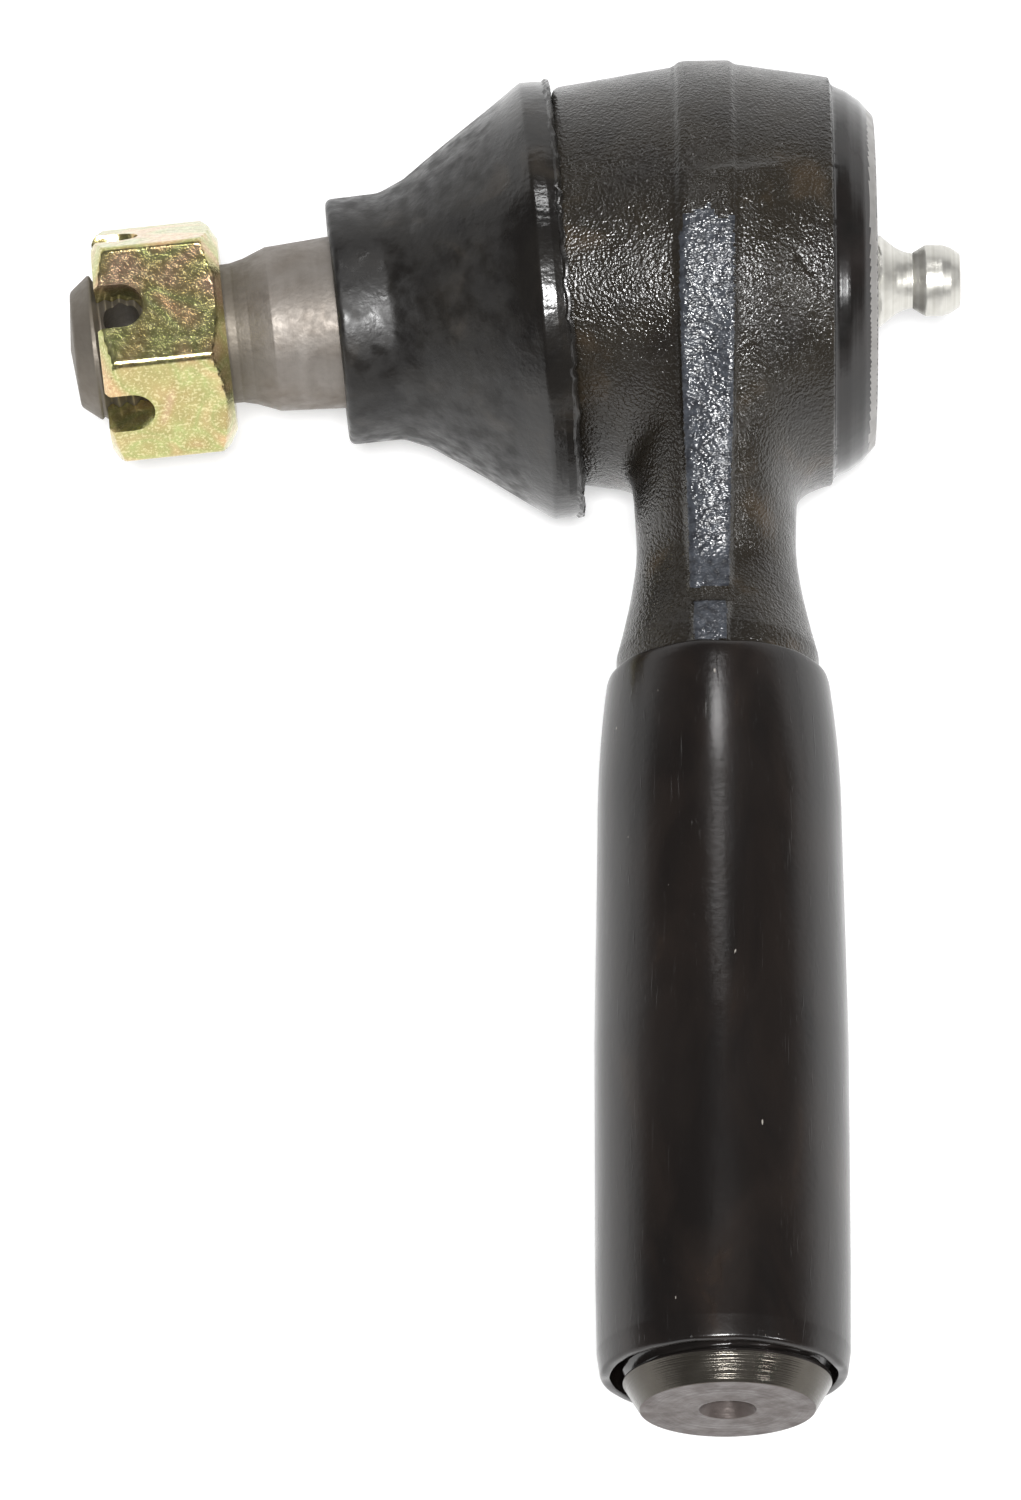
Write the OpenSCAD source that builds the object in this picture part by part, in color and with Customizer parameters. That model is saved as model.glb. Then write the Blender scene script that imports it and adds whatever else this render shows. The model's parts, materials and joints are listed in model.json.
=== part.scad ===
// Outer tie rod end: a forged socket with a greased half-ball joint, a tapered stud and a threaded shank.
// Frame: the ball's centre is the origin. The socket's axis is X, with the stud towards -X and the
// grease nipple towards +X. The shank runs along -Y, and +Z is up. Millimetres.

/* [Ball and stud] */
// Radius of the ball
ball_r = 11.85; // [11.6:0.05:11.9]
// Lean of the stud from the socket's axis at rest, towards the shank, in degrees
stud_lean = 6; // [0:0.5:8]
// Radius of the neck between the ball and the taper
neck_r = 6.2; // [5.8:0.1:6.4]
// Radius of the journal that the half ball turns on
journal_r = 7.6; // [7.2:0.05:7.7]
// Distance from the ball's centre to the taper's large end
taper_start = 32; // [31.9:0.1:33]
// Length of the taper
taper_len = 7; // [6:0.25:7.5]
// Radius of the taper's large end
taper_r = 7.68; // [7.5:0.01:7.69]
// Change of radius per unit of length on the taper
taper_rate = 0.0625; // [0.04:0.0025:0.08]
// Major radius of the stud's thread
stud_thread_r = 6.35; // [6.2:0.05:6.35]
// Distance from the ball's centre to the stud's tip
stud_tip = 56.9; // [56:0.1:60]
// Radius of the cotter hole
cotter_r = 1.6; // [1:0.1:1.9]

/* [Slotted nut] */
// Distance across the nut's flats
nut_flats = 19.05; // [18:0.05:20]
// Height of the nut
nut_h = 11.1; // [10:0.1:12]
// Distance from the ball's centre to the nut's inner face
nut_start = 43; // [42.8:0.1:43.6]
// Width of a slot
slot_w = 4; // [3:0.1:4.5]
// Depth of a slot
slot_depth = 4.2; // [3:0.1:5]
// Turn of the nut and the cotter hole about the stud at rest, towards the shank, in degrees
nut_turn = 5; // [0:1:30]

/* [Forged housing] */
// Distance from the ball's centre to the barrel's face on the stud's side
barrel_front = 14.1; // [13.8:0.1:14.4]
// Distance from the ball's centre to the edge where the rolled lip starts
lip_start = 10.3; // [10:0.1:10.6]
// Distance from the ball's centre to the end of the rolled lip
lip_end = 14.3; // [14:0.1:14.8]
// Radius of the barrel at the parting plane
barrel_r = 19.2; // [18.6:0.1:19.6]
// Radius of the barrel at its face on the stud's side
front_r = 17.3; // [17:0.1:17.4]
// Radius of the barrel where the rolled lip starts
back_r = 17.9; // [17.5:0.1:18.2]
// Radius that the web between the barrel and the neck starts from
web_r = 18.6; // [17.3:0.1:18.7]
// Height of the flash land that is left round the parting plane
flash_h = 0.35; // [0.2:0.05:0.6]
// Width of the flash land on the barrel
flash_w = 4.6; // [3:0.1:6]
// Width of the flash land on the neck
flash_neck_w = 3.8; // [2:0.1:4.6]
// Radius of the main bore
bore_r = 14; // [13.8:0.05:14.2]
// Narrowest radius of the neck between the barrel and the shank
neck_min_r = 6.83; // [6.5:0.05:7.5]

/* [Shank and guard] */
// Distance from the ball's centre to the shank's end
shank_end = 104.3; // [100:0.1:110]
// Major radius of the shank's thread
shank_r = 8.73; // [8.6:0.01:8.75]
// Distance from the ball's centre to the shank's shoulder
shoulder = 36.3; // [36:0.1:37]
// Distance from the ball's centre to the guard's upper rim
guard_top = 38.4; // [37.5:0.1:39]
// Distance from the ball's centre to the guard's lower rim
guard_end = 101.5; // [98:0.1:102]
// Largest radius of the guard
guard_r = 10.8; // [10.7:0.05:11]
// Radius of the guard's bore over the thread
guard_bore_r = 9.5; // [9.4:0.05:9.6]

/* [Boot] */
// Distance from the ball's centre to the boot's mouth
boot_mouth = 13.1; // [13:0.1:13.3]
// Radius of the flange at the boot's mouth
flange_r = 19.25; // [19.1:0.05:19.6]
// Width of the flange's rim
flange_w = 2.5; // [2.4:0.1:2.6]
// Distance from the ball's centre to the boot's small end
boot_end = 33.3; // [33:0.1:33.6]
// Radius of the boot's small end
boot_small_r = 10.9; // [10.7:0.05:11.2]

/* [Grease nipple] */
// Radius of the nipple's head
head_r = 3.25; // [3.2:0.01:3.3]
// Distance from the ball's centre to the nipple's tip
nipple_tip = 21.8; // [21.6:0.1:22.2]
// Distance across the flats of the nipple's hexagon
hex_flats = 7.94; // [7.5:0.01:8.5]

/* [Hidden] */
$fn = 96;

// Clearances between the parts of the joint
turn_gap = 0.05;
seat_gap = 0.1;
seat_r = ball_r + seat_gap;
through = 200;

// Inside of the socket, along +X from the ball's centre
bearing_stop = -8.4;
bearing_mouth = -6.4;
upper_end = 0.6;
lower_start = 1.2;
lower_end = 7.9;
plate_in = 10.35;
plate_out = 12.4;
plate_r = 15.1;
lip_open_r = 12.7;
throat_r = 11.2;
throat_out_r = 14.2;

// Ball stud, along the stud's axis from the ball's centre
head_depth = 6.5;
half_ball_top = 8;
neck_start = 9.2;
neck_end = 20;
bush_start = 28.2;
bush_end = 31.8;
taper_end = taper_start + taper_len;
taper_small_r = taper_r - taper_len * taper_rate;
relief_r = 5.9;
stud_chamfer = 1.2;

// Disc spring
spring_in_r = 10.2;
spring_out_r = 13.6;
spring_t = 1.2;

// Shank, along -Y from the ball's centre
groove_start = 42.5;
groove_end = 45;
groove_r = 7.7;
chamfer_l = 2.3;
chamfer_r = 1.38;
guard_grip_end = 42;
guard_nose_end = 46.5;
nose_r = 9.45;

// Boot
boot_bore_r = 9;
flare_start = 27.4;
ring_start = 14.2;
ring_w = 1;
ring_in_r = 17.6;
ring_out_r = 18.6;

// Grease nipple, along +X from the ball's centre
hex_start = plate_out + turn_gap;
hex_end = 15;
head_start = 18.9;
head_end = 20.5;
nipple_neck = 17.4;
nipple_neck_r = 2.25;
nipple_bore_r = 1.1;
nipple_mouth_r = 0.7;
check_ball_r = 0.95;
check_ball_x = 20.25;
check_spring_start = 14;
check_spring_turns = 7;

// Places a shape drawn along +Z on the socket's axis, pointing to +X
module along_socket() { rotate([0, 90, 0]) children(); }

// Places a shape drawn along +Z on the stud's axis, pointing out of the socket
module along_stud() { rotate([0, 0, stud_lean]) rotate([0, -90, 0]) children(); }

// Places a shape drawn along +Z on the shank's axis, pointing to -Y
module along_shank() { rotate([90, 0, 0]) children(); }

// A ring with a plain bore, from height a to height b
module ring(outer, inner, a, b) {
    translate([0, 0, a]) difference() {
        cylinder(r = outer, h = b - a);
        translate([0, 0, -1]) cylinder(r = inner, h = b - a + 2);
    }
}

// Points of an elliptical arc from angle a to angle b, in the plane of a turned outline
function arc(cr, ch, rr, rh, a, b, n = 12) =
    [for (i = [0:n]) let (t = a + (b - a) * i / n) [cr + rr * cos(t), ch + rh * sin(t)]];

// Radius of the neck at a distance l from the ball's centre
function neck_radius(l) = neck_min_r + (shank_r - neck_min_r) * pow((l - 25) / (shoulder - 25), 1.6);

// Side view of the forging, grown by g: the barrel's circle, the web and the neck
module side_view(r, g) {
    foot = 27;
    foot_r = 8;
    drop = asin((r - foot_r) / foot);
    circle(r = r + g);
    translate([-foot, 0]) circle(r = foot_r + g);
    polygon([
        [-(r + g) * sin(drop), (r + g) * cos(drop)],
        [-foot - (foot_r + g) * sin(drop), (foot_r + g) * cos(drop)],
        [-foot - (foot_r + g) * sin(drop), -(foot_r + g) * cos(drop)],
        [-(r + g) * sin(drop), -(r + g) * cos(drop)]
    ]);
}

// A plate in the plane of the shank and Z, w thick along X
module side_plate(w) { rotate([90, 0, 90]) linear_extrude(height = w, center = true) children(); }

module forging() {
    along_socket() rotate_extrude() polygon(concat(
        [[0, -barrel_front]],
        arc(front_r - 1, 1 - barrel_front, 1, 1, -90, 0, 6),
        [[barrel_r, -flash_w / 2], [barrel_r, flash_w / 2], [back_r, lip_start]],
        arc(13.1, lip_start + 0.2, 4.2, lip_end - lip_start - 0.2, 0, 78, 12),
        [[0, lip_end]]
    ));
    side_plate(10) side_view(web_r, 0);
    side_plate(flash_w) circle(r = barrel_r + flash_h);
    side_plate(flash_neck_w) {
        side_view(web_r, flash_h);
        translate([-shoulder + 1, -neck_radius(shoulder - 2.4) - flash_h])
            square([shoulder - 20, 2 * (neck_radius(shoulder - 2.4) + flash_h)]);
    }
    along_shank() rotate_extrude() polygon(concat(
        [[0, 0], [neck_min_r, 0]],
        [for (l = [25:1:36]) [neck_radius(l), l]],
        [
            [shank_r, shoulder], [shank_r, groove_start],
            [groove_r, groove_start + 0.8], [groove_r, groove_end - 0.8], [shank_r, groove_end],
            [shank_r, shank_end - chamfer_l], [shank_r - chamfer_r, shank_end], [0, shank_end]
        ]
    ));
}

module lathe_centre() {
    along_shank() translate([0, 0, shank_end]) rotate([180, 0, 0]) {
        translate([0, 0, -1]) cylinder(r1 = 3, r2 = 1.2, h = 3.1);
        cylinder(r = 1.2, h = 5);
    }
}

module housing() {
    color("dimgray") difference() {
        forging();
        along_socket() {
            translate([0, 0, bearing_stop]) cylinder(r = bore_r, h = plate_in - bearing_stop);
            translate([0, 0, plate_in]) cylinder(r = plate_r, h = plate_out + turn_gap - plate_in);
            translate([0, 0, plate_out]) cylinder(r = lip_open_r, h = 10);
            rotate([180, 0, 0]) translate([0, 0, 1])
                cylinder(r = throat_r, h = -bearing_stop);
            rotate([180, 0, 0]) translate([0, 0, -bearing_stop])
                cylinder(r1 = throat_r, r2 = throat_out_r, h = barrel_front + bearing_stop);
            rotate([180, 0, 0]) translate([0, 0, barrel_front - 0.01])
                cylinder(r = throat_out_r, h = 1);
        }
        lathe_centre();
    }
}

module upper_bearing() {
    color("silver") along_socket() difference() {
        translate([0, 0, bearing_stop + turn_gap])
            cylinder(r = bore_r - turn_gap, h = upper_end - bearing_stop - turn_gap);
        sphere(r = seat_r);
        translate([0, 0, bearing_stop]) cylinder(r1 = 11.2, r2 = 10.1, h = bearing_mouth - bearing_stop);
    }
}

module half_ball() {
    color("lightsteelblue") along_stud() difference() {
        intersection() {
            sphere(r = ball_r);
            translate([0, 0, seat_gap]) cylinder(r = through, h = half_ball_top - seat_gap);
        }
        translate([0, 0, -1]) cylinder(r = journal_r + turn_gap, h = 20);
    }
}

module ball_stud() {
    color("gray") along_stud() difference() {
        union() {
            intersection() {
                sphere(r = ball_r);
                translate([0, 0, -head_depth]) cylinder(r = through, h = head_depth);
            }
            translate([0, 0, -1]) cylinder(r = journal_r, h = half_ball_top + 1);
            rotate_extrude() polygon([
                [0, half_ball_top - 1], [journal_r - 0.6, half_ball_top - 1],
                [journal_r - 0.6, half_ball_top + 0.3], [neck_r, neck_start],
                [neck_r, neck_end], [taper_r, bush_start - 0.4], [taper_r, taper_start],
                [taper_small_r, taper_end], [6.2, taper_end + 2.4], [relief_r, taper_end + 2.7],
                [relief_r, taper_end + 3.5], [0, taper_end + 3.5]
            ]);
            translate([0, 0, taper_end + 3.5])
                cylinder(r = stud_thread_r, h = stud_tip - stud_chamfer - taper_end - 3.5);
            translate([0, 0, stud_tip - stud_chamfer])
                cylinder(r1 = stud_thread_r, r2 = stud_thread_r - stud_chamfer, h = stud_chamfer);
        }
        rotate([0, 0, -nut_turn]) translate([0, 0, nut_start + nut_h - slot_depth / 2]) rotate([0, 90, 0])
            cylinder(r = cotter_r, h = through, center = true);
    }
}

module lower_bearing() {
    color("silver") along_socket() difference() {
        translate([0, 0, lower_start]) cylinder(r = bore_r - seat_gap, h = lower_end - lower_start);
        sphere(r = seat_r);
    }
}

module preload_spring() {
    low = lower_end + turn_gap;
    high = plate_in - turn_gap;
    color("slategray") along_socket() rotate_extrude() polygon([
        [spring_in_r, low], [spring_out_r, high - spring_t],
        [spring_out_r, high], [spring_in_r, low + spring_t]
    ]);
}

module end_plate() {
    color("gray") along_socket() difference() {
        translate([0, 0, plate_in]) cylinder(r = plate_r - turn_gap, h = plate_out - plate_in);
        translate([0, 0, plate_in - 1]) cylinder(r = 3.2, h = 5);
        translate([0, 0, plate_out - 0.5]) ring(10.5, 8.5, 0, 1);
    }
}

module grease_nipple() {
    color("silver") along_socket() difference() {
        union() {
            translate([0, 0, plate_in + turn_gap]) cylinder(r = 3.15, h = hex_start - plate_in);
            translate([0, 0, hex_start])
                cylinder(r = hex_flats / sqrt(3), h = hex_end - hex_start, $fn = 6);
            rotate_extrude() polygon(concat(
                [[0, hex_end - 1], [3.6, hex_end - 1], [3.6, hex_end]],
                arc(nipple_neck_r + 1.35, nipple_neck, 1.35, nipple_neck - hex_end, -90, -180, 8),
                [
                    [nipple_neck_r, nipple_neck + 0.3], [head_r, head_start], [head_r, head_end],
                    [2.3, nipple_tip - 0.3], [1.9, nipple_tip], [0, nipple_tip]
                ]
            ));
        }
        cylinder(r = 0.6, h = through);
        translate([0, 0, check_spring_start]) cylinder(r = nipple_bore_r, h = 20.35 - check_spring_start);
        translate([0, 0, 20.35]) cylinder(r1 = nipple_bore_r, r2 = nipple_mouth_r, h = 0.65);
        translate([0, 0, 20.9]) cylinder(r = nipple_mouth_r, h = 2);
    }
}

module nipple_ball() {
    color("white") translate([check_ball_x, 0, 0]) sphere(r = check_ball_r);
}

// A coil wound round +Z from height 0: wire radius w, mean radius m, height h
module coil(w, m, h, turns) {
    steps = turns * 12;
    sides = 8;
    points = [
        for (i = [0:steps], j = [0:sides - 1])
            let (a = i * 30, b = j * 360 / sides, r = m + w * cos(b))
            [r * cos(a), r * sin(a), w + (h - 2 * w) * i / steps + w * sin(b)]
    ];
    polyhedron(points = points, faces = concat(
        [[for (j = [0:sides - 1]) j]],
        [[for (j = [sides - 1:-1:0]) steps * sides + j]],
        [
            for (i = [0:steps - 1], j = [0:sides - 1])
                let (k = (j + 1) % sides)
                [i * sides + j, (i + 1) * sides + j, (i + 1) * sides + k, i * sides + k]
        ]
    ));
}

module nipple_spring() {
    room = check_ball_x - 0.55 - check_spring_start;
    color("white") along_socket() translate([0, 0, check_spring_start + turn_gap])
        coil(0.16, 0.8, room - 2 * turn_gap, check_spring_turns);
}

module boot() {
    color("black") along_stud() difference() {
        rotate_extrude() polygon(concat(
            [[flange_r - 0.2, boot_mouth], [flange_r, boot_mouth + 0.3], [flange_r, boot_mouth + flange_w]],
            arc(boot_small_r + 2.4, flare_start + 1.6, 2.4, 2.6, -150, -180, 4),
            [
                [boot_small_r, boot_end - 0.8], [boot_small_r - 0.6, boot_end],
                [taper_r + seat_gap, boot_end], [taper_r + seat_gap, bush_end + seat_gap],
                [boot_bore_r, bush_end + seat_gap], [boot_bore_r, bush_start - 0.5],
                [16.4, boot_mouth + flange_w + 0.7], [16.8, ring_start + 0.1], [17.8, boot_mouth]
            ]
        ));
        ring(
            ring_out_r + turn_gap, ring_in_r - turn_gap,
            ring_start - turn_gap, ring_start + ring_w + turn_gap
        );
    }
}

module boot_ring() {
    color("gray") along_stud() ring(ring_out_r, ring_in_r, ring_start, ring_start + ring_w);
}

module boot_bush() {
    color("ivory") along_stud()
        ring(boot_bore_r - turn_gap, taper_r + turn_gap, bush_start, bush_end);
}

module slotted_nut() {
    corner = nut_flats / sqrt(3);
    color("goldenrod") along_stud() rotate([0, 0, -nut_turn]) translate([0, 0, nut_start]) difference() {
        intersection() {
            rotate([0, 0, 30]) cylinder(r = corner, h = nut_h, $fn = 6);
            rotate_extrude() polygon([
                [0, 0], [corner - 2.6, 0], [corner, 1.5],
                [corner, nut_h - 1.1], [corner - 1.9, nut_h], [0, nut_h]
            ]);
        }
        translate([0, 0, -1]) cylinder(r = stud_thread_r + turn_gap, h = nut_h + 2);
        for (turn = [0, 60, 120]) rotate([0, 0, turn]) translate([0, 0, nut_h]) {
            translate([0, 0, slot_w / 2 - slot_depth]) rotate([0, 90, 0])
                cylinder(r = slot_w / 2, h = through, center = true);
            translate([-through / 2, -slot_w / 2, slot_w / 2 - slot_depth])
                cube([through, slot_w, slot_depth]);
        }
    }
}

module thread_guard() {
    color("black") along_shank() rotate_extrude() polygon(concat(
        [[shank_r + 0.03, guard_top]],
        arc(nose_r, guard_nose_end, guard_r - 0.35 - nose_r, guard_nose_end - guard_top, -90, 0, 10),
        [
            [guard_r, 72], [guard_r - 0.15, guard_end - 3], [guard_r - 0.4, guard_end - 0.4],
            [guard_r - 0.7, guard_end], [guard_bore_r, guard_end],
            [guard_bore_r, guard_grip_end + 2], [shank_r + 0.03, guard_grip_end]
        ]
    ));
}

housing();
upper_bearing();
half_ball();
ball_stud();
lower_bearing();
preload_spring();
end_plate();
grease_nipple();
nipple_ball();
nipple_spring();
boot();
boot_ring();
boot_bush();
slotted_nut();
thread_guard();
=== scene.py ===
import json
import math

import bmesh
import bpy
import numpy as np
from mathutils import Matrix, Vector


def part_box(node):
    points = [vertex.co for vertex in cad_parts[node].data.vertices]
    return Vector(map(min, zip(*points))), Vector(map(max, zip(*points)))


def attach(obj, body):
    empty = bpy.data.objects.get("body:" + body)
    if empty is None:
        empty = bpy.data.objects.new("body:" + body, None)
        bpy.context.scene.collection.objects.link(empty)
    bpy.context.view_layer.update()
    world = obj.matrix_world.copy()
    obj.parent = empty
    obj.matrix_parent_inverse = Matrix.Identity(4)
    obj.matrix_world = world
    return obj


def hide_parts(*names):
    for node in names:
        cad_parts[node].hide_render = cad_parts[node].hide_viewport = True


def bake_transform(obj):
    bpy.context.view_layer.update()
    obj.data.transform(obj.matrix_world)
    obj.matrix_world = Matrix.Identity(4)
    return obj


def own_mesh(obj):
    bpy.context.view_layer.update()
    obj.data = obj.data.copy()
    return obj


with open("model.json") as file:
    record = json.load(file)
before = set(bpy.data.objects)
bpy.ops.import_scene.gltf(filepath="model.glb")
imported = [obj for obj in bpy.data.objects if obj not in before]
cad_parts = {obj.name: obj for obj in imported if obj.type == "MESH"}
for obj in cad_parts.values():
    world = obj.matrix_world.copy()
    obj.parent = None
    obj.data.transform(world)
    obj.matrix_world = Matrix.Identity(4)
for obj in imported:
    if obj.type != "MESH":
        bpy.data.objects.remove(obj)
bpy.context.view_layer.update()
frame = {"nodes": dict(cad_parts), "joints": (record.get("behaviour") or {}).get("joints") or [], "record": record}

# Lengths are in millimetres, in the row frame, until a mesh is made from them.
MM = 0.001
RECORD = frame["record"]


# ---------------------------------------------------------------- places, read from the frame

def unit(v):
    v = np.asarray(v, float)
    return v / np.linalg.norm(v)


def axes(out, side):
    """Matrix that turns a shape drawn along +Z, so that its Z points along out and its X along side."""
    z, x = unit(out), unit(side)
    return np.stack([x, np.cross(z, x), z], axis=1)


def joint_axis(name):
    return np.array(next(j["axis"] for j in frame["joints"] if j["name"] == name), float)


def reach(node, axis):
    """A CAD node's lowest and highest place along an axis through the origin, and its largest radius."""
    points = np.array([v.co for v in frame["nodes"][node].data.vertices]) / MM
    along = points @ unit(axis)
    radius = np.sqrt(np.maximum((points ** 2).sum(1) - along ** 2, 0))
    return along.min(), along.max(), radius.max()


SOCKET = axes((1, 0, 0), (0, 0, -1))
STUD = axes(joint_axis("stud_spin"), (0, 0, 1))
SHANK = axes((0, -1, 0), (1, 0, 0))

BARREL_FRONT, LIP_END = -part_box("housing")[0].x / MM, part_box("housing")[1].x / MM
FLASH_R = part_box("housing")[1].z / MM
SHANK_END = reach("housing", SHANK[:, 2])[1]
_, STUD_TIP, BALL_R = reach("ball_stud", STUD[:, 2])
NUT_TURN = math.radians(5)
NUT = axes(STUD[:, 2], (0, -math.sin(NUT_TURN), math.cos(NUT_TURN)))
NUT_START, NUT_END, NUT_CORNER = reach("slotted_nut", STUD[:, 2])
MOUTH, BOOT_END, FLANGE_R = reach("boot", STUD[:, 2])
GUARD_TOP, GUARD_END, GUARD_R = reach("thread_guard", SHANK[:, 2])
PLATE_IN, PLATE_OUT, PLATE_R = reach("end_plate", SOCKET[:, 2])
NIPPLE_BASE, NIPPLE_TIP, HEX_CORNER = reach("grease_nipple", SOCKET[:, 2])

# Sizes that the frame's boxes don't give
BORE_R, PLATE_SEAT_R, LIP_OPEN_R = 14.0, 15.1, 12.7
BEARING_STOP, THROAT_R, THROAT_OUT_R = -8.4, 11.2, 14.2
NECK_MIN_R, SHANK_R, SHOULDER = 6.83, 8.73, 36.3
SHANK_PITCH, STUD_PITCH = 25.4 / 18, 25.4 / 20
# Depth of the threads on the stud and in the nut, and how much deeper the shank's is
THREAD_DEPTH, NUT_THREAD_DEPTH, SHANK_DEEPER = 0.6, 0.55, 0.2
# Shares of a thread's half turn that are flat at the crest, and that its flank takes up
CREST, FLANK = 0.12, 0.76
STUD_THREAD_R = 6.35
SLOT_W, SLOT_DEPTH = 4.0, 4.2
DISC_IN_R, DISC_T = 10.2, 1.2
COIL_TURNS, COIL_WIRE_R = 7, 0.16


# ---------------------------------------------------------------- shapes

# Points on each rounded corner of an outline
BEND_POINTS = 8


def smoothstep(low, high, v):
    t = np.clip((v - low) / (high - low), 0, 1)
    return t * t * (3 - 2 * t)


def grain(points, size, seed):
    """Smooth lumps between -1 and 1, about size across."""
    q = points / size + seed * 7.31
    cell = np.floor(q).astype(np.int64)
    f = q - cell
    f = f * f * (3 - 2 * f)

    def lattice(dx, dy, dz):
        """A value between -1 and 1 for a corner of each point's cell, the same in every run."""
        n = (cell[:, 0] + dx) * 73856093 ^ (cell[:, 1] + dy) * 19349663 ^ (cell[:, 2] + dz) * 83492791
        n = (n ^ (n >> 13)) * 1274126177 & 0x7FFFFFFF
        return ((n ^ (n >> 16)) & 0xFFFF) / 32767.5 - 1

    def along_x(dy, dz):
        return lattice(0, dy, dz) * (1 - f[:, 0]) + lattice(1, dy, dz) * f[:, 0]

    low = along_x(0, 0) * (1 - f[:, 1]) + along_x(1, 0) * f[:, 1]
    high = along_x(0, 1) * (1 - f[:, 1]) + along_x(1, 1) * f[:, 1]
    return low * (1 - f[:, 2]) + high * f[:, 2]


def rounded(corners, closed=True, step=1.0):
    """An outline through corners of (radius, height, rounding), with no stretch longer than step."""
    xy = np.array([c[:2] for c in corners], float)
    n = len(xy)
    path = []
    for i, (_, _, rounding) in enumerate(corners):
        here = xy[i]
        if rounding == 0 or (not closed and i in (0, n - 1)):
            path.append(here)
            continue
        back, ahead = xy[i - 1] - here, xy[(i + 1) % n] - here
        a, b = np.linalg.norm(back), np.linalg.norm(ahead)
        half = math.acos(np.clip(back @ ahead / (a * b), -1, 1)) / 2
        cut = min(rounding / math.tan(half), 0.49 * a, 0.49 * b)
        start, end = here + back / a * cut, here + ahead / b * cut
        for t in np.linspace(0, 1, BEND_POINTS):
            path.append((1 - t) ** 2 * start + 2 * t * (1 - t) * here + t * t * end)
    path = np.array(path)
    fine = []
    for i in range(len(path) if closed else len(path) - 1):
        a, b = path[i], path[(i + 1) % len(path)]
        pieces = max(1, math.ceil(np.linalg.norm(b - a) / step))
        fine += [a + (b - a) * k / pieces for k in range(pieces)]
    if not closed:
        fine.append(path[-1])
    return np.array(fine)


def turned(outline, around=128, closed=True):
    """Points and square faces of an outline of (radius, height) turned round +Z."""
    angle = np.arange(around) * 2 * math.pi / around
    r, h = outline[:, :1], outline[:, 1:]
    points = np.stack([r * np.cos(angle), r * np.sin(angle), h + 0 * angle], -1).reshape(-1, 3)
    rings = len(outline)
    i = np.arange(rings if closed else rings - 1)[:, None]
    j = np.arange(around)[None, :]
    k, m = (j + 1) % around, (i + 1) % rings
    faces = np.stack([i * around + j, i * around + k, m * around + k, m * around + j], -1)
    return points, faces.reshape(-1, 4)


def thread(points, start, end, pitch, depth):
    """Cuts a right-hand thread into a turned shape between two heights, with its crests left alone."""
    x, y, h = points.T
    turn = (h / pitch - np.arctan2(y, x) / (2 * math.pi)) % 1
    fall = np.clip((1 - np.abs(2 * turn - 1) - CREST) / FLANK, 0, 1)
    fall *= smoothstep(start, start + pitch, h) * (1 - smoothstep(end - 0.3, end, h))
    scale = 1 - depth * fall / np.maximum(np.hypot(x, y), depth)
    return points * np.stack([scale, scale, np.ones_like(h)], -1)


def to_hexagon(points, flats, corner):
    """Trims a turned shape to a hexagonal bar with rounded corners, which has a flat facing its own X."""
    x, y, _ = points.T
    angle = np.abs((np.arctan2(y, x) + math.pi / 6) % (math.pi / 3) - math.pi / 6)
    from_corner = math.pi / 6 - angle
    centre = (flats / 2 - corner) / math.cos(math.pi / 6)
    side = centre * np.sin(from_corner)
    bend = centre * np.cos(from_corner) + np.sqrt(np.maximum(corner ** 2 - side ** 2, 0))
    limit = np.where(side < corner / 2, bend, flats / 2 / np.cos(angle))
    scale = np.minimum(1, limit / np.maximum(np.hypot(x, y), 0.1))
    return points * np.stack([scale, scale, np.ones_like(x)], -1)


def skin(field, low, high, cell):
    """Points and faces of the surface where field is zero, as a net of squares about cell wide."""
    ticks = [np.arange(a, b + cell, cell) for a, b in zip(low, high)]
    grid = np.stack(np.meshgrid(*ticks, indexing="ij"), -1)
    inside = (field(grid.reshape(-1, 3)) < 0).reshape(grid.shape[:3])
    corners = sum(
        inside[i:inside.shape[0] - 1 + i, j:inside.shape[1] - 1 + j, k:inside.shape[2] - 1 + k].astype(int)
        for i in (0, 1) for j in (0, 1) for k in (0, 1)
    )
    crossed = (corners > 0) & (corners < 8)
    number = np.full(crossed.shape, -1)
    number[crossed] = np.arange(crossed.sum())
    points = grid[:-1, :-1, :-1][crossed] + cell / 2
    for _ in range(5):
        points = pulled(field, points)
    faces = []
    for axis in range(3):
        order = (axis, (axis + 1) % 3, (axis + 2) % 3)
        solid, cells = inside.transpose(order), number.transpose(order)
        here, beyond = solid[:-1, 1:-1, 1:-1], solid[1:, 1:-1, 1:-1]
        for flip, edges in ((False, here & ~beyond), (True, beyond & ~here)):
            i, j, k = np.nonzero(edges)
            quad = [cells[i, j, k], cells[i, j + 1, k], cells[i, j + 1, k + 1], cells[i, j, k + 1]]
            quad = np.stack(quad, -1)
            faces.append(quad[:, ::-1] if flip else quad)
    return points, np.concatenate(faces)


def pulled(field, points):
    """The points moved on to the surface where field is zero, along its steepest slope."""
    step = 0.02
    slope = np.stack([(field(points + d) - field(points - d)) / (2 * step) for d in np.eye(3) * step], -1)
    move = field(points) / np.maximum((slope ** 2).sum(-1), 0.1)
    return points - np.clip(move, -0.5, 0.5)[:, None] * slope


def outline_distance(r, h, outline):
    """Distance from a closed outline in the (radius, height) plane, negative inside it."""
    best = np.full(r.shape, 1e9)
    sign = np.ones(r.shape)
    for (ar, ah), (br, bh) in zip(outline, np.roll(outline, -1, axis=0)):
        er, eh = br - ar, bh - ah
        wr, wh = r - ar, h - ah
        t = np.clip((wr * er + wh * eh) / (er * er + eh * eh), 0, 1)
        best = np.minimum(best, (wr - er * t) ** 2 + (wh - eh * t) ** 2)
        above, below = h >= ah, h < bh
        left = er * wh > eh * wr
        sign = np.where((above & below & left) | (~above & ~below & ~left), -sign, sign)
    return sign * np.sqrt(best)


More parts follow.
